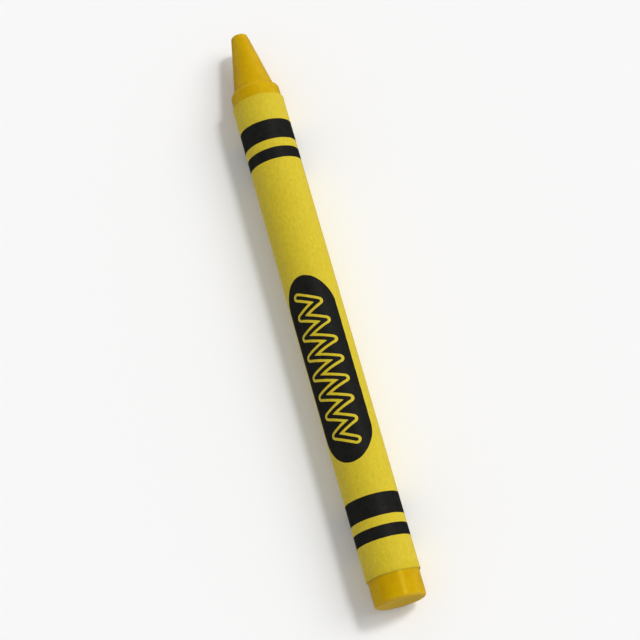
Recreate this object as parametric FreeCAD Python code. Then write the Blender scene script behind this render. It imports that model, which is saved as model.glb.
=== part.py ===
"""Paper-wrapped wax crayon lying on its side: axis along X, tip toward +X, resting on z = 0.

Angles round the axis are right-handed about +X and are counted from straight up.
Sections are drawn round the axis as the X line through the origin, with the print facing +Z.
The last step turns them to the lying position and lifts them onto the resting plane.
"""

import FreeCAD, Part
import math
import os
from FreeCAD import Placement, Rotation, Vector

# Driving dimensions, in millimetres and degrees
LENGTH = 92.1            # over all, 3-5/8 in
LABEL_DIAMETER = 8.0     # over the wound paper, 5/16 in
PAPER = 0.08             # thickness of the label sheet
PASTE = 0.02             # thickness of the paste film under each turn
TURNS = 2                # the sheet goes round twice, less one ramp

LABEL_BOTTOM = 3.95      # wax left bare at the flat end
LABEL_TOP = 80.0         # wax is bare again from here to the tip
PASTE_INSET = 0.3        # the paste stops this far short of the paper's cut edges
SEAM_ANGLE = -115.0      # where the sheet's inner edge lies
RAMP_ANGLE = 8.0         # the sheet climbs over its own inner edge within this angle

CONE_LENGTH = 9.7        # from the shoulder to the tip
CONE_BASE_DIAMETER = 6.4
TIP_DIAMETER = 2.5       # where the cone's side would meet the end plane
TIP_ROUNDING = 0.4
RIM_ROUNDING = 0.5       # moulded edge of the flat end
SINK_DIAMETER = 4.4      # shallow dish left by the cooling wax
SINK_DEPTH = 0.25

INK = 0.02               # depth of the printed ink, flush with the paper
TIP_BANDS = ((75.5, 72.25), (70.85, 69.0))     # top and bottom edge above the flat end
BASE_BANDS = ((15.35, 12.1), (10.7, 8.85))

PRINT_ANGLE = -15.0      # direction that the panel faces
PANEL_BOTTOM = 20.65
PANEL_TOP = 49.9
PANEL_ARC = 126.0        # how far the panel reaches round the barrel
PANEL_END = 5.0          # length of each rounded end
SCRIBBLE_MARGIN = 3.0    # from the panel's ends to the scribble's first and last turn
SCRIBBLE_STROKES = 15
SCRIBBLE_REACH = 2.1     # half the length of the longest stroke
SCRIBBLE_TAPER = 0.35    # share by which the end strokes are shorter
SCRIBBLE_OUTLINE = 0.66  # half the width of the unprinted outline
SCRIBBLE_CORE = 0.27     # half the width of the printed core

# Worked out from the driving dimensions
PITCH = PAPER + PASTE
LABEL_RADIUS = LABEL_DIAMETER / 2
WAX_RADIUS = LABEL_RADIUS - TURNS * PITCH
BASE_X = -LENGTH / 2
AXIS = Vector(1, 0, 0)


def above_base(distance):
    """X of a point this far above the flat end."""
    return BASE_X + distance


def around(radius, degrees, x=0.0):
    """Point at a radius and an angle from straight up, right-handed about +X."""
    angle = math.radians(degrees)
    return Vector(x, -radius * math.sin(angle), radius * math.cos(angle))


def in_place(shape):
    """Turn a shape so that the print faces its own way, and lift it onto the resting plane."""
    placed = shape.copy()
    placed.Placement = Placement(Vector(0, 0, LABEL_RADIUS), Rotation(AXIS, PRINT_ANGLE))
    return placed.copy()


def corner_arc(before, corner, after, radius):
    """Arc that rounds one corner of an outline, as its start, middle and end points."""
    back = (before - corner).normalize()
    ahead = (after - corner).normalize()
    half = back.getAngle(ahead) / 2
    reach = radius / math.tan(half)
    inward = (back + ahead).normalize()
    centre = corner + inward * (radius / math.sin(half))
    return corner + back * reach, centre - inward * radius, corner + ahead * reach


# ---------------------------------------------------------------- wax

def wax_stick():
    """Moulded stick: flat rounded tip, cone, rounded shoulder, barrel and dished flat end."""
    tip_x = above_base(LENGTH)
    cone_x = tip_x - CONE_LENGTH
    cone_radius = CONE_BASE_DIAMETER / 2
    shoulder = WAX_RADIUS - cone_radius

    base_centre = Vector(BASE_X, 0, 0)
    rim = Vector(BASE_X, 0, WAX_RADIUS)
    barrel_end = Vector(cone_x - shoulder, 0, WAX_RADIUS)
    cone_start = Vector(cone_x, 0, cone_radius)
    tip_corner = Vector(tip_x, 0, TIP_DIAMETER / 2)
    tip_centre = Vector(tip_x, 0, 0)

    rim_arc = corner_arc(base_centre, rim, barrel_end, RIM_ROUNDING)
    tip_arc = corner_arc(cone_start, tip_corner, tip_centre, TIP_ROUNDING)
    shoulder_middle = Vector(
        barrel_end.x + shoulder * math.sin(math.pi / 4),
        0,
        cone_radius + shoulder * math.cos(math.pi / 4),
    )
    edges = [
        Part.makeLine(base_centre, rim_arc[0]),
        Part.Arc(*rim_arc).toShape(),
        Part.makeLine(rim_arc[2], barrel_end),
        Part.Arc(barrel_end, shoulder_middle, cone_start).toShape(),
        Part.makeLine(cone_start, tip_arc[0]),
        Part.Arc(*tip_arc).toShape(),
        Part.makeLine(tip_arc[2], tip_centre),
        Part.makeLine(tip_centre, base_centre),
    ]
    stick = Part.Face(Part.Wire(edges)).revolve(Vector(0, 0, 0), AXIS, 360)

    half_width = SINK_DIAMETER / 2
    sink_radius = (half_width ** 2 + SINK_DEPTH ** 2) / (2 * SINK_DEPTH)
    sink = Part.makeSphere(sink_radius, Vector(BASE_X + SINK_DEPTH - sink_radius, 0, 0))
    return stick.cut(sink)


# ---------------------------------------------------------------- wound label

def wound_line(offset, turns):
    """Edges of the line that the sheet follows on these turns, this far outside the wax.

    Turn 0 starts at the seam and lies on the wax. Every later turn first climbs one pitch up
    the ramp. Each one then runs level round to the foot of the ramp.
    """
    edges = []
    level_end = SEAM_ANGLE + 360 - RAMP_ANGLE
    for turn in turns:
        radius = WAX_RADIUS + offset + turn * PITCH
        if turn > 0:
            edges.append(Part.Arc(
                around(radius - PITCH, level_end),
                around(radius - PITCH / 2, level_end + RAMP_ANGLE / 2),
                around(radius, SEAM_ANGLE),
            ).toShape())
        edges.append(Part.Arc(
            around(radius, SEAM_ANGLE),
            around(radius, (SEAM_ANGLE + level_end) / 2),
            around(radius, level_end),
        ).toShape())
    return edges


def closed_face(inner_edges, outer_edges):
    """Face between two lines that run the same way round, closed by a cut at each end."""
    inner = Part.Wire(inner_edges)
    outer = Part.Wire(outer_edges)
    start = Part.makeLine(inner.OrderedVertexes[0].Point, outer.OrderedVertexes[0].Point)
    end = Part.makeLine(inner.OrderedVertexes[-1].Point, outer.OrderedVertexes[-1].Point)
    return Part.Face(Part.Wire(Part.__sortEdges__(inner.Edges + [end] + outer.Edges + [start])))


def raised(face, bottom, top):
    """Section in the middle plane, extruded between two heights above the flat end."""
    lower = face.copy()
    lower.translate(AXIS * above_base(bottom))
    return lower.extrude(AXIS * (top - bottom))


def label_section():
    """Section through the sheet: one strip, wound twice."""
    turns = range(TURNS)
    return closed_face(wound_line(PASTE, turns), wound_line(PITCH, turns))


def paste_section():
    """Section through the paste: it fills what the sheet leaves open down to the wax."""
    film = closed_face(wound_line(PASTE, range(TURNS)), wound_line(PITCH, range(TURNS - 1)))
    wax = Part.Face(Part.Wire(Part.makeCircle(WAX_RADIUS, Vector(0, 0, 0), AXIS)))
    return film.cut(wax)


def print_section():
    """Section through the ink layer, which is only in the outside of the last turn."""
    outside = [TURNS - 1]
    return closed_face(wound_line(PITCH - INK, outside), wound_line(PITCH, outside))


# ---------------------------------------------------------------- print

def upright(face):
    """Flat shape in the plane that the print faces, extruded through the near half of the label."""
    return face.extrude(Vector(0, 0, 2 * LABEL_RADIUS))


def panel_prism():
    """Long panel with half-elliptical ends."""
    half_width = LABEL_RADIUS * math.sin(math.radians(PANEL_ARC / 2))
    low = above_base(PANEL_BOTTOM) + PANEL_END
    high = above_base(PANEL_TOP) - PANEL_END
    edges = []
    for x, end in ((low, -1), (high, 1)):
        ellipse = Part.Ellipse(
            Vector(x + end * PANEL_END, 0, 0), Vector(x, end * half_width, 0), Vector(x, 0, 0)
        )
        edges.append(ellipse.toShape(-math.pi / 2, math.pi / 2))
    left = Part.makeLine(Vector(low, half_width, 0), Vector(high, half_width, 0))
    right = Part.makeLine(Vector(low, -half_width, 0), Vector(high, -half_width, 0))
    return upright(Part.Face(Part.Wire(Part.__sortEdges__(edges + [left, right]))))


def scribble_points():
    """Turning points of the zigzag; its strokes are longest half way along."""
    first = above_base(PANEL_BOTTOM + SCRIBBLE_MARGIN)
    last = above_base(PANEL_TOP - SCRIBBLE_MARGIN)
    points = []
    for i in range(SCRIBBLE_STROKES + 1):
        along = i / SCRIBBLE_STROKES
        swell = math.sin(math.pi * along)
        reach = SCRIBBLE_REACH * (1 - SCRIBBLE_TAPER * (1 - swell))
        side = 1 if i % 2 else -1
        points.append(Vector(first + along * (last - first), side * reach, 0))
    return points


def stroke(start, end, half_width):
    """One straight stroke with round ends."""
    run = (end - start).normalize()
    across = Vector(-run.y, run.x, 0) * half_width
    cap = run * half_width
    edges = [
        Part.makeLine(start + across, end + across),
        Part.Arc(end + across, end + cap, end - across).toShape(),
        Part.makeLine(end - across, start - across),
        Part.Arc(start - across, start - cap, start + across).toShape(),
    ]
    return upright(Part.Face(Part.Wire(edges)))


def scribble_strokes(half_width):
    """The zigzag's strokes one by one, drawn with a round pen."""
    points = scribble_points()
    return [stroke(a, b, half_width) for a, b in zip(points, points[1:])]


def joined(solids):
    """One solid out of several that overlap."""
    return solids[0].fuse(solids[1:])


# ---------------------------------------------------------------- assembly

def build():
    """Every piece by its node name, in the lying position."""
    ink_face = print_section()
    tip_outer, tip_inner = [raised(ink_face, low, high) for high, low in TIP_BANDS]
    base_inner, base_outer = [raised(ink_face, low, high) for high, low in BASE_BANDS]

    panel_skin = raised(ink_face, PANEL_BOTTOM, PANEL_TOP).common(panel_prism())
    panel = panel_skin.cut(joined(scribble_strokes(SCRIBBLE_OUTLINE)).removeSplitter())
    scribble = joined([panel_skin.common(mark) for mark in scribble_strokes(SCRIBBLE_CORE)])

    prints = [tip_outer, tip_inner, base_inner, base_outer, panel, scribble]
    label = raised(label_section(), LABEL_BOTTOM, LABEL_TOP).cut(prints)
    paste = raised(paste_section(), LABEL_BOTTOM + PASTE_INSET, LABEL_TOP - PASTE_INSET)
    return {
        "wax_stick": wax_stick(),
        "paste_film": paste,
        "paper_label": label,
        "tip_band_outer": tip_outer,
        "tip_band_inner": tip_inner,
        "base_band_inner": base_inner,
        "base_band_outer": base_outer,
        "print_panel": panel,
        "print_scribble": scribble,
    }


def main():
    os.makedirs("parts", exist_ok=True)
    for name, shape in build().items():
        placed = in_place(shape)
        placed.exportStep(f"parts/{name}.step")
        box = placed.optimalBoundingBox(False)
        print(f"{name}: {len(placed.Solids)} solid, valid {placed.isValid()},"
              f" {placed.Volume:.3f} mm3, z {box.ZMin:.3f} to {box.ZMax:.3f}")


main()
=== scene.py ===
import math

import bpy
import numpy as np
from mathutils import Matrix, Vector, noise


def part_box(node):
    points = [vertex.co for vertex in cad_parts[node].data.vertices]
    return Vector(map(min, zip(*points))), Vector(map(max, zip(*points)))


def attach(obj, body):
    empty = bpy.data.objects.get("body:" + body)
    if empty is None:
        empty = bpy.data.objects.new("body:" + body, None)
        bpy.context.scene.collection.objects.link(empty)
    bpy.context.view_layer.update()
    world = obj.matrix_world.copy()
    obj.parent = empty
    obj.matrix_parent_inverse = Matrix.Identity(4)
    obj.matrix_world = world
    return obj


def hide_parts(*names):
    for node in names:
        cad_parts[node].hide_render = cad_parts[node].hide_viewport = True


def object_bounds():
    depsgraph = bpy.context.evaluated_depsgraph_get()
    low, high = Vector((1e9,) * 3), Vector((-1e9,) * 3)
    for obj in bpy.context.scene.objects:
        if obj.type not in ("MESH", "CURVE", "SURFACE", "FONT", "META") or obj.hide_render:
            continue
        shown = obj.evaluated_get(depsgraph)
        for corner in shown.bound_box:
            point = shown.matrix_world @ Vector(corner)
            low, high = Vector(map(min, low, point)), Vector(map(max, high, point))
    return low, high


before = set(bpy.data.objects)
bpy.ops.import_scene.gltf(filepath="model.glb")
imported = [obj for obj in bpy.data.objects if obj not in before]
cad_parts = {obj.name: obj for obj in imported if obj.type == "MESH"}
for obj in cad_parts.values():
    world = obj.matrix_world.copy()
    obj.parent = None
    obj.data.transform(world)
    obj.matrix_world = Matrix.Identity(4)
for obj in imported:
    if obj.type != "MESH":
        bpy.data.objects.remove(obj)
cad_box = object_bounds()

# A wax crayon in its wound paper label, lying along X with its tip toward +X.
# Lengths below are in millimetres unless a name says otherwise, and meshes are made in metres.
# Angles round the axis are in degrees, right-handed about +X, counted from straight up.

MM = 0.001

# ---------------------------------------------------------------- sizes from the frame

wax_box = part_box("wax_stick")
label_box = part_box("paper_label")
panel_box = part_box("print_panel")
scribble_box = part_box("print_scribble")

AXIS_Z = (cad_box[0].z + cad_box[1].z) / 2 / MM
LABEL_RADIUS = (cad_box[1].z - cad_box[0].z) / 2 / MM
BASE_X = wax_box[0].x / MM
TIP_X = wax_box[1].x / MM
LABEL_START = label_box[0].x / MM
LABEL_END = label_box[1].x / MM

PAPER = 0.08             # thickness of the label sheet
PASTE = 0.02             # thickness of the paste under each turn
PITCH = PAPER + PASTE
WAX_RADIUS = LABEL_RADIUS - 2 * PITCH
SEAM = -130.0            # where the sheet's inner edge lies
RAMP = 8.0               # the sheet climbs over that edge within this angle
TURN = 360.0
SHEET_END = 2 * TURN - RAMP
ASKEW = 0.2              # the sheet drifts this far along the crayon as it is wound

CONE_LENGTH = 9.7        # from the shoulder to the tip
CONE_BASE_RADIUS = 3.2
TIP_RADIUS = 1.25        # where the cone's side would meet the end plane
TIP_ROUNDING = 0.4
RIM_ROUNDING = 0.5       # moulded edge of the flat end
SINK_RADIUS = 2.2        # shallow dish in the flat end
SINK_DEPTH = 0.25

PRINT_ANGLE = -15.0      # direction that the panel faces
PANEL_HALF_ARC = 63.0
PANEL_END = 5.0          # length of each rounded end
SCRIBBLE_STROKES = 15
SCRIBBLE_REACH = 2.1     # half the length of the longest stroke
SCRIBBLE_TAPER = 0.35    # share by which the end strokes are shorter
SCRIBBLE_OUTLINE = 0.66  # half the width of the unprinted outline
SCRIBBLE_CORE = 0.27     # half the width of the printed core
INK_STAND = 0.006        # the ink's face stands this far above the paper
INK_SINK = 0.010         # and its underside lies this far below it


def at(x, radius, degrees):
    """Point in metres at a place along the axis, a radius and an angle, all arrays alike."""
    angle = np.radians(degrees)
    return np.stack(np.broadcast_arrays(
        x * MM, -radius * np.sin(angle) * MM, (AXIS_Z + radius * np.cos(angle)) * MM
    ), axis=-1)


def wobble(x, degrees, size, seed):
    """Smooth noise between about -1 and 1 on the crayon's surface, for features this large."""
    x, degrees = np.broadcast_arrays(x, degrees)
    angle = np.radians(degrees)
    across = LABEL_RADIUS / size
    points = np.stack([x / size + seed, np.sin(angle) * across, np.cos(angle) * across], axis=-1)
    values = [noise.noise(Vector(p)) for p in points.reshape(-1, 3)]
    return np.array(values).reshape(x.shape)


def smooth(value, low, high):
    """0 before low, 1 after high, and a smooth step between."""
    t = np.clip((value - low) / (high - low), 0, 1)
    return t * t * (3 - 2 * t)


def make_piece(name, points, faces, material, node, sharp_degrees=35):
    """Mesh piece that stands for one CAD node and rides with the crayon."""
    mesh = bpy.data.meshes.new(name)
    mesh.from_pydata([tuple(p) for p in points], [], faces)
    mesh.validate()
    mesh.shade_smooth()
    mesh.set_sharp_from_angle(angle=math.radians(sharp_degrees))
    mesh.materials.append(material)
    piece = bpy.data.objects.new(name, mesh)
    bpy.context.scene.collection.objects.link(piece)
    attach(piece, "root")
    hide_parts(node)
    return piece


# ---------------------------------------------------------------- materials

# Sockets of the mix node, which has a set of them for each kind of value
MIX_COLOUR_A = 6
MIX_COLOUR_B = 7
MIX_COLOUR_OUT = 2

# Colours, linear, with alpha
PAPER_THIN = (0.540, 0.413, 0.011, 1)
PAPER_THICK = (0.665, 0.528, 0.022, 1)
PAPER_CLOUD = (0.560, 0.405, 0.009, 1)
PAPER_TOOTH = (0.470, 0.345, 0.010, 1)
PAPER_STRAND = (0.740, 0.620, 0.060, 1)
PAPER_FLECK = (0.40, 0.29, 0.010, 1)
PAPER_WAXED = (0.54, 0.375, 0.006, 1)
CUT_DARK = (0.56, 0.46, 0.07, 1)
CUT_LIGHT = (0.70, 0.60, 0.16, 1)
INK_DARK = (0.0032, 0.0032, 0.0028, 1)
INK_LIGHT = (0.0078, 0.0078, 0.0068, 1)
INK_CLOUD = (0.010, 0.0098, 0.009, 1)
INK_STRAND = (0.022, 0.021, 0.017, 1)
INK_PINHOLE = (0.16, 0.13, 0.01, 1)
WAX_DARK = (0.515, 0.300, 0.0008, 1)
WAX_LIGHT = (0.580, 0.368, 0.0015, 1)
WAX_GRAIN = (0.62, 0.43, 0.010, 1)
WAX_RUBBED = (0.63, 0.45, 0.016, 1)
# Painted shade for the flat end, which faces away from the lights
WAX_END_PAINTED_SHADE = (0.53, 0.333, 0.022, 1)
# Painted shade inside the small pits
WAX_PIT_PAINTED_SHADE = (0.40, 0.20, 0.0006, 1)
WAX_GLOSS = (1.0, 0.92, 0.13, 1)
PASTE_DARK = (0.66, 0.60, 0.42, 1)
PASTE_LIGHT = (0.80, 0.76, 0.60, 1)
FLOOR_COLOUR = (0.95, 0.95, 0.95, 1)

# How far light spreads in the wax: red, green and blue, and the whole in metres
WAX_SPREAD = (1.0, 0.55, 0.08)
WAX_SPREAD_SCALE = 0.9 * MM

FIBRE_DIRECTIONS = (4, 37, 71, -24, -58)     # in degrees from along the crayon
WAXED_AT_BASE = 1.6      # how far wax has crept into the paper from its cut ends
WAXED_AT_TIP = 1.2
WORN_EDGES = (BASE_X + 0.2, TIP_X - CONE_LENGTH - 0.2, TIP_X - 0.15)
END_SHADE_MATTE_UNTIL = 0.26    # the flat end's painted shade and matte finish reach this far up the rim
END_SHADE_MATTE_GONE = 0.44     # and has faded out here


class Graph:
    """Short calls for a material's nodes. Positions reach the patterns in millimetres."""

    def __init__(self, name):
        self.material = bpy.data.materials.new(name)
        self.material.use_nodes = True
        self.tree = self.material.node_tree
        self.shader = self.tree.nodes["Principled BSDF"]
        position = self.node("ShaderNodeTexCoord").outputs["Object"]
        self.place = self.scaled(position, (1 / MM, 1 / MM, 1 / MM))

    def node(self, kind):
        return self.tree.nodes.new(kind)

    def feed(self, socket, value):
        if isinstance(value, bpy.types.NodeSocket):
            self.tree.links.new(value, socket)
        else:
            socket.default_value = value

    def scaled(self, vector, factors):
        node = self.node("ShaderNodeVectorMath")
        node.operation = "MULTIPLY"
        self.feed(node.inputs[0], vector)
        self.feed(node.inputs[1], factors)
        return node.outputs["Vector"]

    def unrolled(self):
        """Place on the flat sheet: along the crayon, and round it from the seam."""
        split = self.node("ShaderNodeSeparateXYZ")
        self.feed(split.inputs[0], self.place)
        above = self.calc("SUBTRACT", split.outputs["Z"], AXIS_Z)
        beside = self.calc("MULTIPLY", split.outputs["Y"], -1.0)
        angle = self.calc("ARCTAN2", beside, above)
        past_seam = self.calc("SUBTRACT", angle, math.radians(SEAM))
        from_seam = self.calc("FLOORED_MODULO", past_seam, math.tau)
        join = self.node("ShaderNodeCombineXYZ")
        self.feed(join.inputs["X"], split.outputs["X"])
        self.feed(join.inputs["Y"], self.calc("MULTIPLY", from_seam, LABEL_RADIUS))
        return join.outputs["Vector"]

    def turned(self, vector, degrees):
        """Vector turned about Z."""
        node = self.node("ShaderNodeVectorRotate")
        node.rotation_type = "Z_AXIS"
        self.feed(node.inputs["Vector"], vector)
        node.inputs["Angle"].default_value = math.radians(degrees)
        return node.outputs["Vector"]

    def noise(
        self, per_mm, detail=2.0, roughness=0.5, stretch=(1, 1, 1), distortion=0.0, place=None
    ):
        """Noise with this many features per millimetre."""
        node = self.node("ShaderNodeTexNoise")
        self.feed(node.inputs["Vector"], self.scaled(place or self.place, stretch))
        node.inputs["Scale"].default_value = per_mm
        node.inputs["Detail"].default_value = detail
        node.inputs["Roughness"].default_value = roughness
        node.inputs["Distortion"].default_value = distortion
        return node.outputs["Fac"]

    def cells(self, per_mm, stretch=(1, 1, 1)):
        """Distance to the nearest of scattered points."""
        node = self.node("ShaderNodeTexVoronoi")
        self.feed(node.inputs["Vector"], self.scaled(self.place, stretch))
        node.inputs["Scale"].default_value = per_mm
        return node.outputs["Distance"]

    def along(self):
        """Place along the crayon, in millimetres."""
        node = self.node("ShaderNodeSeparateXYZ")
        self.feed(node.inputs[0], self.place)
        return node.outputs["X"]

    def remap(self, value, low, high, to_low=0.0, to_high=1.0):
        """Value taken from one range to another, and held at its ends."""
        node = self.node("ShaderNodeMapRange")
        self.feed(node.inputs["Value"], value)
        for name, number in (
            ("From Min", low), ("From Max", high), ("To Min", to_low), ("To Max", to_high)
        ):
            node.inputs[name].default_value = number
        return node.outputs["Result"]

    def calc(self, operation, a, b=0.0):
        """One step of arithmetic, by the name of the node's operation."""
        node = self.node("ShaderNodeMath")
        node.operation = operation
        self.feed(node.inputs[0], a)
        self.feed(node.inputs[1], b)
        return node.outputs["Value"]

    def blend(self, share, a, b):
        """Colour a where share is 0 and b where it is 1."""
        node = self.node("ShaderNodeMix")
        node.data_type = "RGBA"
        self.feed(node.inputs["Factor"], share)
        self.feed(node.inputs[MIX_COLOUR_A], a)
        self.feed(node.inputs[MIX_COLOUR_B], b)
        return node.outputs[MIX_COLOUR_OUT]

    def bump(self, height, depth_mm, under=None):
        """Normals of a surface this deep, over the surface under it."""
        node = self.node("ShaderNodeBump")
        node.inputs["Strength"].default_value = 1.0
        node.inputs["Distance"].default_value = depth_mm * MM
        self.feed(node.inputs["Height"], height)
        if under is not None:
            self.feed(node.inputs["Normal"], under)
        return node.outputs["Normal"]

    def finish(self, colour, roughness, normal, **numbers):
        """The material, its shader fed with these and with any other inputs by name."""
        self.feed(self.shader.inputs["Base Color"], colour)
        self.feed(self.shader.inputs["Roughness"], roughness)
        self.feed(self.shader.inputs["Normal"], normal)
        for name, number in numbers.items():
            self.shader.inputs[name.replace("_", " ")].default_value = number
        return self.material


def paper_fibres(g):
    """The sheet's surface: how thick its felt is, its fine tooth, and the fibres on it."""
    sheet = g.unrolled()
    felt = g.noise(2.6, 5, 0.66, (0.5, 1, 1), 0.5, sheet)
    tooth = g.noise(11.0, 3, 0.62, (0.45, 1, 1), 0.2, sheet)
    strands = 0.0
    for degrees in FIBRE_DIRECTIONS:
        lines = g.noise(7.0, 1, 0.5, (0.11, 1, 1), 0.8, g.turned(sheet, degrees))
        beside = g.calc("ABSOLUTE", g.calc("SUBTRACT", lines, 0.5))
        strands = g.calc("MAXIMUM", strands, g.remap(beside, 0.0, 0.030, 1.0, 0.0))
    present = g.remap(g.noise(0.9, 2, 0.5, place=sheet), 0.36, 0.60, 0.15, 1.0)
    return felt, tooth, g.calc("MULTIPLY", strands, present)


def paper_material():
    """Uncoated yellow label paper: mottled, fibrous, a little waxed near its cut ends."""
    g = Graph("label_paper")
    felt, tooth, strands = paper_fibres(g)
    clouds = g.noise(0.55, 3, 0.55)
    colour = g.blend(g.remap(felt, 0.34, 0.66), PAPER_THIN, PAPER_THICK)
    colour = g.blend(g.remap(clouds, 0.35, 0.7, 0.0, 0.35), colour, PAPER_CLOUD)
    colour = g.blend(g.remap(tooth, 0.42, 0.66, 0.0, 0.30), colour, PAPER_TOOTH)
    colour = g.blend(g.calc("MULTIPLY", strands, 0.26), colour, PAPER_STRAND)
    flecks = g.remap(g.cells(1.6, (0.4, 1, 1)), 0.02, 0.10, 0.30, 0.0)
    colour = g.blend(flecks, colour, PAPER_FLECK)
    x = g.along()
    low_end = g.remap(x, LABEL_START, LABEL_START + WAXED_AT_BASE, 1.0, 0.0)
    high_end = g.remap(x, LABEL_END - WAXED_AT_TIP, LABEL_END, 0.0, 1.0)
    ends = g.calc("ADD", low_end, high_end)
    waxed = g.calc("MULTIPLY", ends, g.remap(clouds, 0.3, 0.7, 0.1, 0.5))
    colour = g.blend(waxed, colour, PAPER_WAXED)
    roughness = g.remap(felt, 0.3, 0.7, 0.52, 0.68)
    normal = g.bump(strands, 0.006, g.bump(tooth, 0.009, g.bump(felt, 0.016)))
    return g.finish(
        colour, roughness, normal,
        Specular_IOR_Level=0.2, Sheen_Weight=0.04, Sheen_Roughness=0.5,
    )


def cut_edge_material():
    """Cut edge of the sheet, where the pale core of the paper shows."""
    g = Graph("label_cut_edge")
    fibres = g.noise(9.0, 3, 0.6)
    colour = g.blend(g.remap(fibres, 0.3, 0.7), CUT_DARK, CUT_LIGHT)
    return g.finish(colour, 0.85, g.bump(fibres, 0.01), Specular_IOR_Level=0.25)


def ink_material():
    """Black label ink over the fibres, with a soft sheen and a few thin spots."""
    g = Graph("label_ink")
    felt, tooth, strands = paper_fibres(g)
    clouds = g.noise(0.8, 3, 0.6)
    colour = g.blend(g.remap(felt, 0.34, 0.68), INK_DARK, INK_LIGHT)
    colour = g.blend(g.remap(clouds, 0.35, 0.75, 0.0, 0.4), colour, INK_CLOUD)
    colour = g.blend(g.calc("MULTIPLY", strands, 0.35), colour, INK_STRAND)
    pinholes = g.remap(g.noise(4.5, 2, 0.5), 0.72, 0.80, 0.0, 0.5)
    colour = g.blend(pinholes, colour, INK_PINHOLE)
    roughness = g.remap(felt, 0.3, 0.7, 0.44, 0.56)
    normal = g.bump(strands, 0.005, g.bump(tooth, 0.008, g.bump(felt, 0.012)))
    return g.finish(colour, roughness, normal, Specular_IOR_Level=0.09)


def wax_material():
    """Pigmented paraffin wax: deep yellow, slightly translucent, rubbed and finely scuffed, with
    painted shade on its flat end and in its pits.
    """
    g = Graph("crayon_wax")
    clouds = g.noise(0.45, 4, 0.55)
    grain = g.noise(3.5, 4, 0.6)
    drawn = g.noise(2.6, 4, 0.65, (0.12, 1, 1))
    colour = g.blend(g.remap(clouds, 0.3, 0.7), WAX_DARK, WAX_LIGHT)
    colour = g.blend(g.remap(grain, 0.55, 0.8, 0.0, 0.25), colour, WAX_GRAIN)
    rubbed = g.remap(drawn, 0.58, 0.74, 0.0, 0.30)
    x = g.along()
    for edge in WORN_EDGES:
        near = g.remap(g.calc("ABSOLUTE", g.calc("SUBTRACT", x, edge)), 0.1, 0.6, 1.0, 0.0)
        worn = g.calc("MULTIPLY", near, g.remap(grain, 0.45, 0.65, 0.05, 0.45))
        rubbed = g.calc("MAXIMUM", rubbed, worn)
    colour = g.blend(rubbed, colour, WAX_RUBBED)
    # Painted shade: the flat end gets a duller, olive wax colour for the shade it lies in, and
    # further down a rougher finish
    off_end = g.remap(x, BASE_X + END_SHADE_MATTE_UNTIL, BASE_X + END_SHADE_MATTE_GONE)
    colour = g.blend(off_end, WAX_END_PAINTED_SHADE, colour)
    # Painted shade: the pits are dented by the bump below and also coloured darker, as if shaded
    # inside
    pits = g.remap(g.cells(0.95), 0.03, 0.09, 1.0, 0.0)
    colour = g.blend(g.calc("MULTIPLY", pits, 0.35), colour, WAX_PIT_PAINTED_SHADE)
    polish = g.remap(grain, 0.3, 0.7, 0.25, 0.36)
    roughness = g.calc("ADD", polish, g.calc("MULTIPLY", rubbed, 0.4))
    roughness = g.calc("MAXIMUM", roughness, g.remap(off_end, 0.0, 1.0, 0.75, 0.0))
    normal = g.bump(drawn, 0.010, g.bump(grain, 0.012, g.bump(pits, -0.05)))
    return g.finish(
        colour, roughness, normal, Specular_IOR_Level=0.2, Specular_Tint=WAX_GLOSS,
        Subsurface_Weight=0.35, Subsurface_Radius=WAX_SPREAD, Subsurface_Scale=WAX_SPREAD_SCALE,
    )


def paste_material():
    """Dried starch paste, off-white."""
    g = Graph("dried_paste")
    grain = g.noise(6.0, 3, 0.6)
    colour = g.blend(g.remap(grain, 0.3, 0.7), PASTE_DARK, PASTE_LIGHT)
    return g.finish(colour, 0.7, g.bump(grain, 0.01), Specular_IOR_Level=0.4)


# ---------------------------------------------------------------- wax stick

UNDER_LABEL = 0.6        # the finely divided wax goes this far under the label
HIDDEN_SPACING = 5.0     # between rings where the label hides them
WAX_SIDES = 192
BASE_HUB = 0.08          # radius of the innermost ring at the flat end
TIP_HUB = 0.06           # and at the tip

# How far the wax stands off its outline, in millimetres
WAVES = 0.014
GRAIN = 0.0045
CHIP_DEPTH = 0.055       # broken from the edge of the tip
NICK_DEPTH = 0.05        # broken from the rim of the flat end
PARTING_DEPTH = 0.022    # a shallow groove at the foot of the cone
END_UNEVEN = 0.02
END_RING = 0.03          # the low ring about the sink


def arc(centre_x, centre_r, radius, start, end, steps):
    """Points on an arc of the outline, angles counted from +X toward the outside."""
    points = []
    for degrees in np.linspace(start, end, steps):
        angle = math.radians(degrees)
        points.append((centre_x + radius * math.cos(angle), centre_r + radius * math.sin(angle)))
    return points


def line(start, end, spacing):
    """Points on a straight stretch of the outline, its end left to the next stretch."""
    steps = max(2, round(math.dist(start, end) / spacing) + 1)
    return [tuple(p) for p in np.linspace(start, end, steps)[:-1]]


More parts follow.
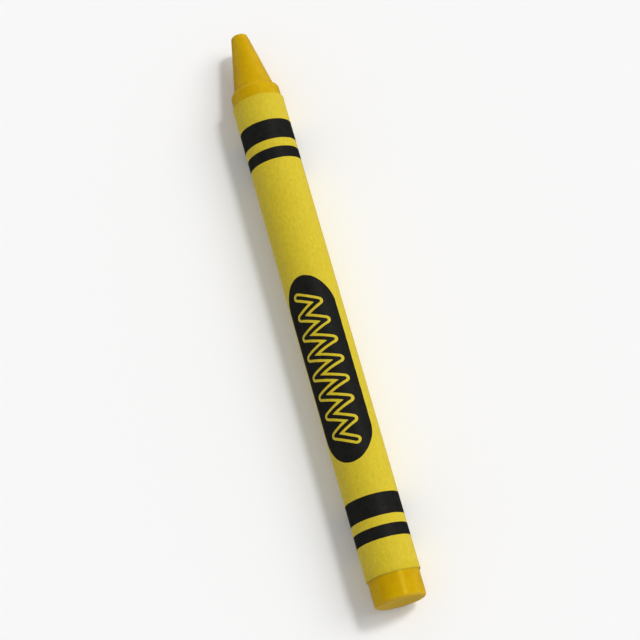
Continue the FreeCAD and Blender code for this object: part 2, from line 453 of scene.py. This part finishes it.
def wax_outline():
    """Outline of the stick from the middle of its flat end to the middle of its tip."""
    shoulder = WAX_RADIUS - CONE_BASE_RADIUS
    cone_x = TIP_X - CONE_LENGTH
    barrel_end = (cone_x - shoulder, WAX_RADIUS)
    cone_start = (cone_x, CONE_BASE_RADIUS)
    slope = math.degrees(math.atan2(CONE_BASE_RADIUS - TIP_RADIUS, CONE_LENGTH))
    reach = TIP_ROUNDING / math.tan(math.radians(90 + slope) / 2)
    tip_centre = (TIP_X - TIP_ROUNDING, TIP_RADIUS - reach)
    cone_end = arc(*tip_centre, TIP_ROUNDING, start=90 - slope, end=0, steps=2)[0]

    sink = [
        (BASE_X + SINK_DEPTH * (1 - (r / SINK_RADIUS) ** 2) ** 0.9, r)
        for r in np.linspace(BASE_HUB, SINK_RADIUS, 16)[:-1]
    ]
    rim_centre = (BASE_X + RIM_ROUNDING, WAX_RADIUS - RIM_ROUNDING)
    ring = line((BASE_X, SINK_RADIUS), (BASE_X, rim_centre[1]), spacing=0.12)
    rim = arc(*rim_centre, RIM_ROUNDING, start=180, end=90, steps=12)
    rim_end = (BASE_X + RIM_ROUNDING, WAX_RADIUS)
    cover_start = (LABEL_START + UNDER_LABEL, WAX_RADIUS)
    cover_end = (LABEL_END - UNDER_LABEL, WAX_RADIUS)
    bare_end = line(rim_end, cover_start, spacing=0.14)[1:]
    hidden = line(cover_start, cover_end, HIDDEN_SPACING)
    collar = line(cover_end, barrel_end, spacing=0.14)
    round_shoulder = arc(barrel_end[0], CONE_BASE_RADIUS, shoulder, start=90, end=8, steps=10)
    cone = line(cone_start, cone_end, spacing=0.13)
    tip = arc(*tip_centre, TIP_ROUNDING, start=90 - slope, end=0, steps=9)
    face = line((TIP_X, tip_centre[1]), (TIP_X, TIP_HUB), spacing=0.12)[1:]
    return sink + ring + rim + bare_end + hidden + collar + round_shoulder + cone + tip + face


def wax_relief(x, radius, degrees):
    """How far the real surface stands off the outline: soft waves, fine grain and small chips."""
    waves = WAVES * wobble(x, degrees, size=5.0, seed=3.0)
    grain = GRAIN * wobble(x, degrees, size=0.7, seed=40.0)
    tip_edge = np.exp(-((x - TIP_X + 0.15) / 0.35) ** 2) * smooth(radius, 0.6, 1.1)
    chips = -CHIP_DEPTH * tip_edge * smooth(wobble(x, degrees, size=1.5, seed=71.0), 0.0, 0.5)
    rim_edge = np.exp(-((x - BASE_X - 0.15) / 0.35) ** 2) * smooth(radius, 3.2, 3.6)
    nicks = -NICK_DEPTH * rim_edge * smooth(wobble(x, degrees, size=1.3, seed=12.0), 0.1, 0.5)
    from_cone = x - (TIP_X - CONE_LENGTH)
    parting = -PARTING_DEPTH * np.exp(-(from_cone / 0.17) ** 2)
    return waves + grain + chips + nicks + parting


def end_relief(radius, degrees):
    """How far the flat end's surface lies in from its plane. A low ring stands out of it."""
    uneven_face = END_UNEVEN * wobble(radius * 0 + BASE_X, degrees, size=1.6, seed=25.0)
    ring = -END_RING * np.exp(-((radius - SINK_RADIUS - 0.12) / 0.12) ** 2)
    return uneven_face + ring


def wax_piece(material):
    """Stick as one closed skin of rings, with a point at the middle of each end."""
    sides = WAX_SIDES
    rows = wax_outline()
    x = np.array([p[0] for p in rows])[:, None]
    radius = np.array([p[1] for p in rows])[:, None]
    degrees = np.linspace(0, TURN, sides, endpoint=False)[None, :]
    relief = wax_relief(x, radius, degrees) * smooth(radius, 0.0, 0.8)
    on_end = smooth(-x, -BASE_X - 0.4, -BASE_X) * smooth(radius, 0, 1)
    points = at(x + end_relief(radius, degrees) * on_end, radius + relief, degrees).reshape(-1, 3)

    faces = []
    for row in range(len(rows) - 1):
        for side in range(sides):
            ahead = (side + 1) % sides
            low, high = row * sides, (row + 1) * sides
            faces.append((low + side, low + ahead, high + ahead, high + side))
    base_middle = len(points)
    tip_middle = base_middle + 1
    last = (len(rows) - 1) * sides
    ends = [at(rows[0][0], 0.0, 0.0), at(rows[-1][0], 0.0, 0.0)]
    for side in range(sides):
        ahead = (side + 1) % sides
        faces.append((ahead, side, base_middle))
        faces.append((last + side, last + ahead, tip_middle))
    points = np.concatenate([points, ends])
    return make_piece("wax_body", points, faces, material, "wax_stick", sharp_degrees=60)


# ---------------------------------------------------------------- wound sheet

# How far the sheet stands off its round, and over what reach
SLACK = 0.012
CURL = 0.05              # at the cut ends of the outer turn
CURL_REACH = 1.6         # from the cut ends
CURL_ONSET = 40.0        # degrees of the outer turn within which it comes in
LOOSE = 0.035            # along the sheet's outer edge
LOOSE_REACH = 9.0        # degrees from that edge

RAGGED = 0.02            # how far the cut ends wander along the crayon
RAGGED_REACH = 3.0       # and how far from them the sheet follows

INNER_SPACING = 4.0      # degrees between columns of the inner turn
PASTE_INSET = 0.25       # the paste stops this far short of the sheet's cut ends


def climb(along):
    """Pitches climbed at this many degrees along the sheet from its inner edge."""
    turn = np.floor(along / TURN)
    return turn + np.clip((along - turn * TURN - (TURN - RAMP)) / RAMP, 0, 1)


def paper_relief(x, along):
    """How far the sheet stands off its round: slack, and edges that lift a little."""
    degrees = SEAM + along
    slack = SLACK * wobble(x, degrees, size=9.0, seed=8.0)
    outside = smooth(along, TURN, TURN + CURL_ONSET)
    from_end = np.minimum(x - LABEL_START, LABEL_END - x)
    curl = CURL * outside * (1 - smooth(from_end, 0.0, CURL_REACH))
    curl = curl * smooth(wobble(x * 0 + x.mean(), degrees, size=3.5, seed=55.0), -0.25, 0.55)
    loose = LOOSE * smooth(along, SHEET_END - LOOSE_REACH, SHEET_END)
    loose = loose * (0.6 + 0.8 * wobble(x, degrees * 0, size=7.0, seed=33.0))
    return slack + curl + loose


def sheet_points(x, along, height):
    """Points at a height above the sheet's underside."""
    radius = WAX_RADIUS + PASTE + PITCH * climb(along) + height
    drift = ASKEW * (along / SHEET_END - 0.5)
    return at(x + drift, radius + paper_relief(x, along), SEAM + along)


def edge_spaced(start, end, fine, coarse, margin):
    """Places from start to end, fine within a margin of each end and coarse between."""
    near = np.linspace(0, margin, round(margin / fine) + 1)[:-1]
    steps = max(2, round((end - start - 2 * margin) / coarse) + 1)
    middle = np.linspace(start + margin, end - margin, steps)
    return np.concatenate([start + near, middle, (end - near)[::-1]])


def closed_sheet(outer, inner):
    """Thin closed body between two grids alike: points, faces, and how many faces are skin."""
    rows, columns = outer.shape[:2]
    points = np.concatenate([outer.reshape(-1, 3), inner.reshape(-1, 3)])
    under = rows * columns

    def index(row, column):
        return row * columns + column

    faces = []
    for row in range(rows - 1):
        for column in range(columns - 1):
            quad = (
                index(row, column), index(row + 1, column),
                index(row + 1, column + 1), index(row, column + 1),
            )
            faces.append(quad)
            faces.append(tuple(under + i for i in reversed(quad)))
    skin = len(faces)
    border = [index(0, c) for c in range(columns)]
    border += [index(r, columns - 1) for r in range(1, rows)]
    border += [index(rows - 1, c) for c in reversed(range(columns - 1))]
    border += [index(r, 0) for r in reversed(range(1, rows - 1))]
    for a, b in zip(border, border[1:] + border[:1]):
        faces.append((a, b, under + b, under + a))
    return points, faces, skin


# Places along the sheet, in degrees from its inner edge: finer on the ramp and at the outer edge
INNER_TURN = np.arange(0, TURN - RAMP, INNER_SPACING)
OUTER_TURN = np.concatenate([
    np.linspace(TURN - RAMP, TURN, 9)[:-1],
    edge_spaced(TURN, SHEET_END, fine=0.6, coarse=1.5, margin=9.0),
])
BOTH_TURNS = np.concatenate([INNER_TURN, OUTER_TURN])[:, None]


def label_piece(paper, cut_edge):
    """The label: one sheet wound twice, a little askew, so both turns show at the ends."""
    place = edge_spaced(LABEL_START, LABEL_END, fine=0.12, coarse=1.1, margin=1.8)[None, :]
    ragged = RAGGED * wobble(place * 0, SEAM + BOTH_TURNS, size=1.5, seed=90.0)
    from_end = np.minimum(place - LABEL_START, LABEL_END - place)
    near_end = 1 - smooth(from_end, 0, RAGGED_REACH)
    x = place + ragged * near_end
    top = sheet_points(x, BOTH_TURNS, PAPER)
    underside = sheet_points(x, BOTH_TURNS, 0.0)
    points, faces, skin = closed_sheet(top, underside)
    piece = make_piece("paper_wrap", points, faces, paper, "paper_label")
    piece.data.materials.append(cut_edge)
    for polygon in piece.data.polygons[skin:]:
        polygon.material_index = 1
    return piece


def paste_piece(material):
    """Film of paste under the sheet, all the way along it."""
    start, end = LABEL_START + PASTE_INSET, LABEL_END - PASTE_INSET
    x = edge_spaced(start, end, fine=0.3, coarse=4.0, margin=1.2)[None, :]
    top = sheet_points(x, BOTH_TURNS, 0.0)
    underside = sheet_points(x, BOTH_TURNS, -PASTE)
    points, faces, _ = closed_sheet(top, underside)
    return make_piece("paste_layer", points, faces, material, "paste_film")


# ---------------------------------------------------------------- print

INK_SPREAD = 0.022       # how far a band's edges wander
INK_UNEVEN = 0.02        # how far the panel's and the scribble's edges wander
PRINT_GRID = 0.1         # spacing of the grid that they are cut from
PRINT_MARGIN = 0.15      # the grid reaches this far past them
PANEL_HALF_WIDTH = LABEL_RADIUS * math.sin(math.radians(PANEL_HALF_ARC))


def band_piece(node, material):
    """Printed band round the outer turn, its edges a little uneven."""
    low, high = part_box(node)
    along = OUTER_TURN[:, None]
    place = edge_spaced(low.x / MM, high.x / MM, fine=0.15, coarse=0.4, margin=0.3)[None, :]
    share = (place - place.min()) / (place.max() - place.min())
    spread = INK_SPREAD * wobble(place * 0, SEAM + along, size=0.9, seed=17.0 + low.x / MM)
    x = place + spread * (2 * share - 1)
    top = sheet_points(x, along, PAPER + INK_STAND)
    underside = sheet_points(x, along, PAPER - INK_SINK)
    points, faces, _ = closed_sheet(top, underside)
    return make_piece(node + "_ink", points, faces, material, node)


def panel_field(x, y):
    """Below 0 inside the panel: straight sides and half-elliptical ends."""
    middle = (panel_box[0].x + panel_box[1].x) / 2 / MM
    half_length = (panel_box[1].x - panel_box[0].x) / 2 / MM
    beyond = np.maximum(np.abs(x - middle) - (half_length - PANEL_END), 0)
    return PANEL_HALF_WIDTH * (np.hypot(beyond / PANEL_END, y / PANEL_HALF_WIDTH) - 1)


def scribble_points():
    """Turning points of the zigzag; its strokes are longest half way along."""
    first = scribble_box[0].x / MM + SCRIBBLE_CORE
    last = scribble_box[1].x / MM - SCRIBBLE_CORE
    points = []
    for i in range(SCRIBBLE_STROKES + 1):
        along = i / SCRIBBLE_STROKES
        reach = SCRIBBLE_REACH * (1 - SCRIBBLE_TAPER * (1 - math.sin(math.pi * along)))
        points.append((first + along * (last - first), reach if i % 2 else -reach))
    return np.array(points)


def scribble_distance(x, y):
    """Distance from the middle of the pen's path."""
    points = scribble_points()
    nearest = np.full(x.shape, np.inf)
    for start, end in zip(points, points[1:]):
        run = end - start
        share = ((x - start[0]) * run[0] + (y - start[1]) * run[1]) / (run @ run)
        share = np.clip(share, 0, 1)
        away = np.hypot(x - start[0] - share * run[0], y - start[1] - share * run[1])
        nearest = np.minimum(nearest, away)
    return nearest


def uneven(x, y):
    """How far the ink spreads at each place."""
    per_mm, seed = 1.3, 5.5
    points = np.stack([x * per_mm, y * per_mm, x * 0 + seed], axis=-1).reshape(-1, 3)
    return INK_UNEVEN * np.array([noise.noise(Vector(p)) for p in points]).reshape(x.shape)


def filled(field, x, y):
    """Polygons of a grid where the field is below 0, cut exactly along its zero line."""
    points, faces, known = [], [], {}

    def corner(i, j):
        if (i, j) not in known:
            known[i, j] = len(points)
            points.append((x[i], y[j]))
        return known[i, j]

    def crossing(a, b):
        key = (min(a, b), max(a, b))
        if key not in known:
            known[key] = len(points)
            start, end = field[key[0]], field[key[1]]
            share = start / (start - end)
            low, high = key
            points.append((
                x[low[0]] + share * (x[high[0]] - x[low[0]]),
                y[low[1]] + share * (y[high[1]] - y[low[1]]),
            ))
        return known[key]

    for i in range(len(x) - 1):
        for j in range(len(y) - 1):
            ring = [(i, j), (i + 1, j), (i + 1, j + 1), (i, j + 1)]
            inside = [field[c] < 0 for c in ring]
            if not any(inside):
                continue
            face = []
            for k in range(4):
                here, ahead = ring[k], ring[(k + 1) % 4]
                if inside[k]:
                    face.append(corner(*here))
                if inside[k] != inside[(k + 1) % 4]:
                    face.append(crossing(here, ahead))
            faces.append(tuple(face))
    return np.array(points), faces


def printed_piece(name, node, outline, material):
    """Flat shape laid onto the outer turn, as a thin closed layer."""
    low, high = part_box(node)
    x_reach = high.x / MM + PRINT_MARGIN + PRINT_GRID
    y_reach = PANEL_HALF_WIDTH + PRINT_MARGIN + PRINT_GRID
    x = np.arange(low.x / MM - PRINT_MARGIN, x_reach, PRINT_GRID)
    y = np.arange(-PANEL_HALF_WIDTH - PRINT_MARGIN, y_reach, PRINT_GRID)
    grid_x, grid_y = np.meshgrid(x, y, indexing="ij")
    flat, top_faces = filled(outline(grid_x, grid_y) + uneven(grid_x, grid_y), x, y)

    degrees = PRINT_ANGLE - np.degrees(np.arcsin(flat[:, 1] / LABEL_RADIUS))
    along = TURN + (degrees - SEAM) % TURN
    top = sheet_points(flat[:, 0], along, PAPER + INK_STAND)
    underside = sheet_points(flat[:, 0], along, PAPER - INK_SINK)
    under = len(flat)
    faces = list(top_faces)
    faces += [tuple(under + i for i in reversed(face)) for face in top_faces]
    once = {}
    for face in top_faces:
        for a, b in zip(face, face[1:] + face[:1]):
            if (b, a) in once:
                del once[b, a]
            else:
                once[a, b] = True
    faces += [(b, a, under + a, under + b) for a, b in once]
    return make_piece(name, np.concatenate([top, underside]), faces, material, node)


def panel_outline(x, y):
    """The panel less the scribble's clear outline."""
    return np.maximum(panel_field(x, y), SCRIBBLE_OUTLINE - scribble_distance(x, y))


def scribble_outline(x, y):
    """The scribble's printed core."""
    return scribble_distance(x, y) - SCRIBBLE_CORE


# ---------------------------------------------------------------- stage, light and camera

# Brightness of the surround by the height of the direction looked in, from -1 down to 1 up
SKY_LIGHT = 0.48
SKY_FROM = 0.30
HORIZON_LIGHT = 0.94     # as bright as the floor, so that the two meet unseen
GROUND_SHARE = 0.15      # share of that which is left well below the horizon
GROUND_FADE_FROM = -0.03
GROUND_FADE_TO = -0.25

FLOOR_HALF = 3.0         # metres
FLOOR_GAP = 0.00001      # metres between the floor and the crayon

CAMERA_ELEVATION = 72.0
CAMERA_ROLL = 16.0
CAMERA_DISTANCE = 0.285  # metres
CAMERA_AIM = 2.3         # millimetres from the crayon's middle toward its flat end
LENS = 108
SENSOR = 36


def floor():
    """Plain pale surface under the crayon, kept out of glossy reflections."""
    half = FLOOR_HALF
    mesh = bpy.data.meshes.new("floor")
    corners = [(-half, -half), (half, -half), (half, half), (-half, half)]
    mesh.from_pydata([(x, y, -FLOOR_GAP) for x, y in corners], [], [(0, 1, 2, 3)])
    g = Graph("pale_floor")
    g.finish(FLOOR_COLOUR, 0.9, g.bump(g.noise(0.2), 0.001), Specular_IOR_Level=0.0)
    mesh.materials.append(g.material)
    plane = bpy.data.objects.new("floor", mesh)
    bpy.context.scene.collection.objects.link(plane)
    plane.visible_glossy = False


def soft_sun(name, toward, strength, spread, glossy):
    """Light from far off, its disc this many degrees across. Reflections show it if glossy."""
    data = bpy.data.lights.new(name, "SUN")
    data.energy = strength
    data.angle = math.radians(spread)
    lamp = bpy.data.objects.new(name, data)
    lamp.visible_glossy = glossy
    lamp.rotation_mode = "QUATERNION"
    lamp.rotation_quaternion = (-Vector(toward)).to_track_quat("-Z", "Y")
    bpy.context.scene.collection.objects.link(lamp)


def lights():
    """Soft light from the crayon's right, seen with the tip ahead, in a pale surround."""
    soft_sun("key", toward=(0.12, -0.74, 0.66), strength=1.08, spread=34, glossy=False)
    soft_sun("top", toward=(0.22, -0.53, 0.82), strength=1.04, spread=10, glossy=True)

    world = bpy.data.worlds.new("surround")
    world.use_nodes = True
    tree = world.node_tree
    direction = tree.nodes.new("ShaderNodeTexCoord").outputs["Generated"]
    split = tree.nodes.new("ShaderNodeSeparateXYZ")
    tree.links.new(direction, split.inputs[0])
    height = tree.nodes.new("ShaderNodeMapRange")
    height.interpolation_type = "SMOOTHSTEP"
    tree.links.new(split.outputs["Z"], height.inputs["Value"])
    height.inputs["From Max"].default_value = SKY_FROM
    height.inputs["To Min"].default_value = HORIZON_LIGHT
    height.inputs["To Max"].default_value = SKY_LIGHT
    ground = tree.nodes.new("ShaderNodeMapRange")
    tree.links.new(split.outputs["Z"], ground.inputs["Value"])
    ground.inputs["From Min"].default_value = GROUND_FADE_TO
    ground.inputs["From Max"].default_value = GROUND_FADE_FROM
    ground.inputs["To Min"].default_value = GROUND_SHARE
    both = tree.nodes.new("ShaderNodeMath")
    both.operation = "MULTIPLY"
    tree.links.new(height.outputs["Result"], both.inputs[0])
    tree.links.new(ground.outputs["Result"], both.inputs[1])
    background = tree.nodes["Background"]
    background.inputs["Color"].default_value = (1, 1, 1, 1)
    tree.links.new(both.outputs["Value"], background.inputs["Strength"])
    bpy.context.scene.world = world


def camera(middle):
    """View from above the flat end, rolled so that the tip points up and to the left."""
    elevation = math.radians(CAMERA_ELEVATION)
    roll = math.radians(CAMERA_ROLL)
    back = Vector((-math.cos(elevation), 0, math.sin(elevation)))
    along = (Vector((1, 0, 0)) - back * back.x).normalized()
    across = along.cross(back)
    up = along * math.cos(roll) + across * math.sin(roll)
    right = across * math.cos(roll) - along * math.sin(roll)
    data = bpy.data.cameras.new("camera")
    data.lens = LENS
    data.sensor_width = SENSOR
    eye = bpy.data.objects.new("camera", data)
    eye.rotation_mode = "QUATERNION"
    aim = middle - Vector((CAMERA_AIM * MM, 0, 0))
    eye.location = aim + back * CAMERA_DISTANCE
    eye.rotation_quaternion = Matrix((right, up, back)).transposed().to_quaternion()
    bpy.context.scene.collection.objects.link(eye)
    bpy.context.scene.camera = eye


# ---------------------------------------------------------------- build

ink = ink_material()
wax_piece(wax_material())
label_piece(paper_material(), cut_edge_material())
paste_piece(paste_material())
for band in ("tip_band_outer", "tip_band_inner", "base_band_inner", "base_band_outer"):
    band_piece(band, ink)
printed_piece("panel_ink", "print_panel", panel_outline, ink)
printed_piece("scribble_ink", "print_scribble", scribble_outline, ink)

floor()
lights()
camera((cad_box[0] + cad_box[1]) / 2)
bpy.context.scene.view_settings.view_transform = "Standard"
